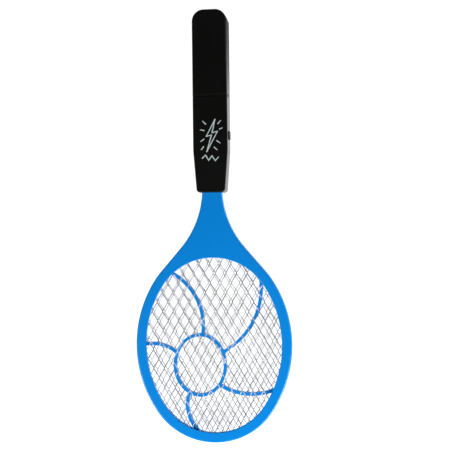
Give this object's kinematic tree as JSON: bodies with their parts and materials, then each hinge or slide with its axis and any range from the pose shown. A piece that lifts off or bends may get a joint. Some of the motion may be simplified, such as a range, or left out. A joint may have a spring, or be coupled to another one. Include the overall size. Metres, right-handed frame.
{
  "type": "electric fly swatter",
  "caption": "Battery racket with layered live mesh in a two-part oval frame with a spiral web, on a flat handle with a side push button and a sliding battery cover.",
  "frame": {"origin": "under the middle of the racket's bounding box, on the flat back of the handle", "axes": "+Z out of the front face, +Y from the head to the butt of the handle, +X the side with the push button"},
  "size_m": [0.1636, 0.45, 0.027],
  "materials": {
    "frame_blue": "satin",
    "handle_black": "satin",
    "button_black": "matte",
    "mesh_metal": "satin",
    "cell_wrap": "gloss",
    "contact_metal": "polished",
    "board_green": "satin",
    "ferrite": "matte",
    "coil_tape": "satin",
    "semiconductor_black": "matte",
    "capacitor_red": "gloss",
    "resistor_body": "satin",
    "switch_plastic": "satin",
    "screw_steel": "satin",
    "wire_red": "satin",
    "wire_black": "satin",
    "wire_white": "satin"
  },
  "bodies": {
    "root": {"frame_front": "frame_blue", "frame_rear": "frame_blue", "web_front": "frame_blue", "web_rear": "frame_blue", "mesh_front": "mesh_metal", "mesh_centre": "mesh_metal", "mesh_rear": "mesh_metal", "handle_front_shell": "handle_black", "handle_rear_shell": "handle_black", "battery_left": "cell_wrap", "battery_right": "cell_wrap", "negative_contact": "contact_metal", "positive_contact": "contact_metal", "bridge_contact": "contact_metal", "circuit_board": "board_green", "transformer_core": "ferrite", "transformer_coil": "coil_tape", "transistor": "semiconductor_black", "hv_capacitors": "capacitor_red", "diodes": "semiconductor_black", "resistors": "resistor_body", "switch_body": "switch_plastic", "handle_screws": "screw_steel", "board_screws": "screw_steel", "battery_lead_red": "wire_red", "battery_lead_black": "wire_black", "hv_lead": "wire_red", "ground_lead": "wire_white", "ground_link": "wire_white"},
    "battery_cover": {"battery_cover": "handle_black"},
    "push_button": {"button_cap": "button_black", "switch_plunger": "wire_white"}
  },
  "joints": [
    {"name": "button_press", "type": "slide", "parent": "root", "child": "push_button", "axis": [-1, 0, 0], "range_m": [0, 0.0012], "stiffness_N_per_m": 1500},
    {"name": "cover_slide", "type": "slide", "parent": "root", "child": "battery_cover", "axis": [0, 1, 0], "range_m": [0, 0.095]}
  ]
}
